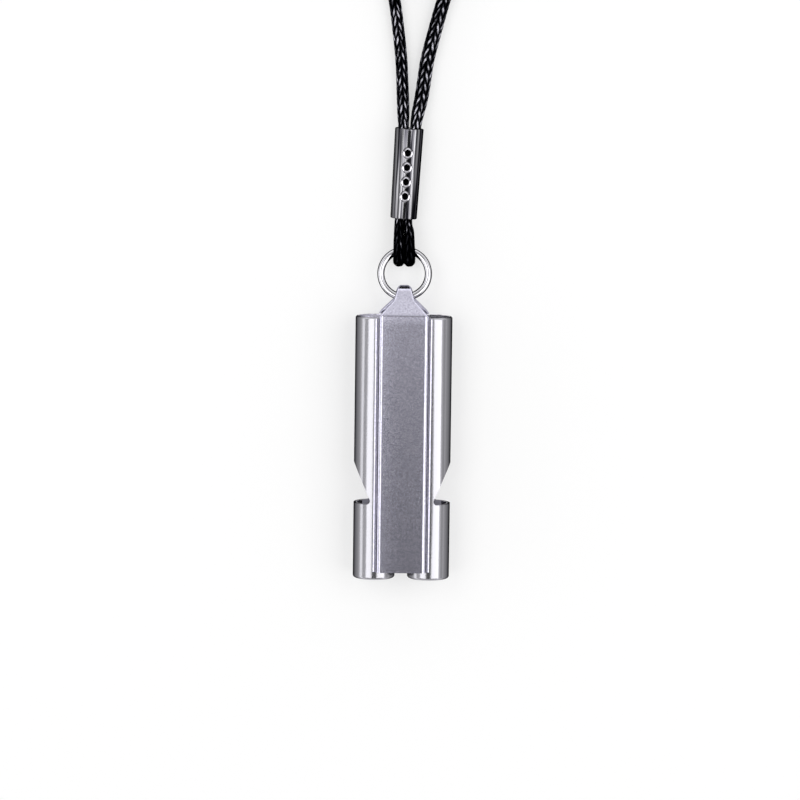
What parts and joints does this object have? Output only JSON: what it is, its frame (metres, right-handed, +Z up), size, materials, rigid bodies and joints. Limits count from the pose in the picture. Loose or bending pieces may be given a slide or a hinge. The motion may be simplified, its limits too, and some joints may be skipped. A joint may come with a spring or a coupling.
{
  "type": "survival whistle",
  "caption": "Steel survival whistle with side-by-side tubes in a folded strip, a swinging ring and a black cord lanyard in a crimped sleeve.",
  "frame": {"origin": "middle of the straight back leg's flat face, which is the face that the whistle lies on", "axes": "+Z up through the front leg, +Y along the whistle from the mouth to the ring, +X to the right seen from the front"},
  "size_m": [0.0197, 0.164, 0.0088],
  "materials": {
    "brushed_steel": "satin",
    "polished_steel": "polished",
    "black_nickel": "polished",
    "waxed_cord": "waxed braid",
    "band": "matte"
  },
  "bodies": {
    "whistle": {"folded_strip": "brushed_steel", "left_tube": "brushed_steel", "right_tube": "brushed_steel", "left_windway_block": "brushed_steel", "right_windway_block": "brushed_steel", "left_end_disc": "brushed_steel", "right_end_disc": "brushed_steel"},
    "ring_and_lanyard": {"ring": "polished_steel", "crimp_sleeve": "black_nickel", "lanyard_left_strand": "waxed_cord", "lanyard_right_strand": "waxed_cord", "lanyard_hank": "waxed_cord", "hank_tie": "band"}
  },
  "joints": [
    {"name": "ring_swing", "type": "hinge", "parent": "whistle", "child": "ring_and_lanyard", "pos_m": [0, 0.02424, 0.0044], "axis": [1, 0, 0], "range_deg": [-90, 120]}
  ]
}
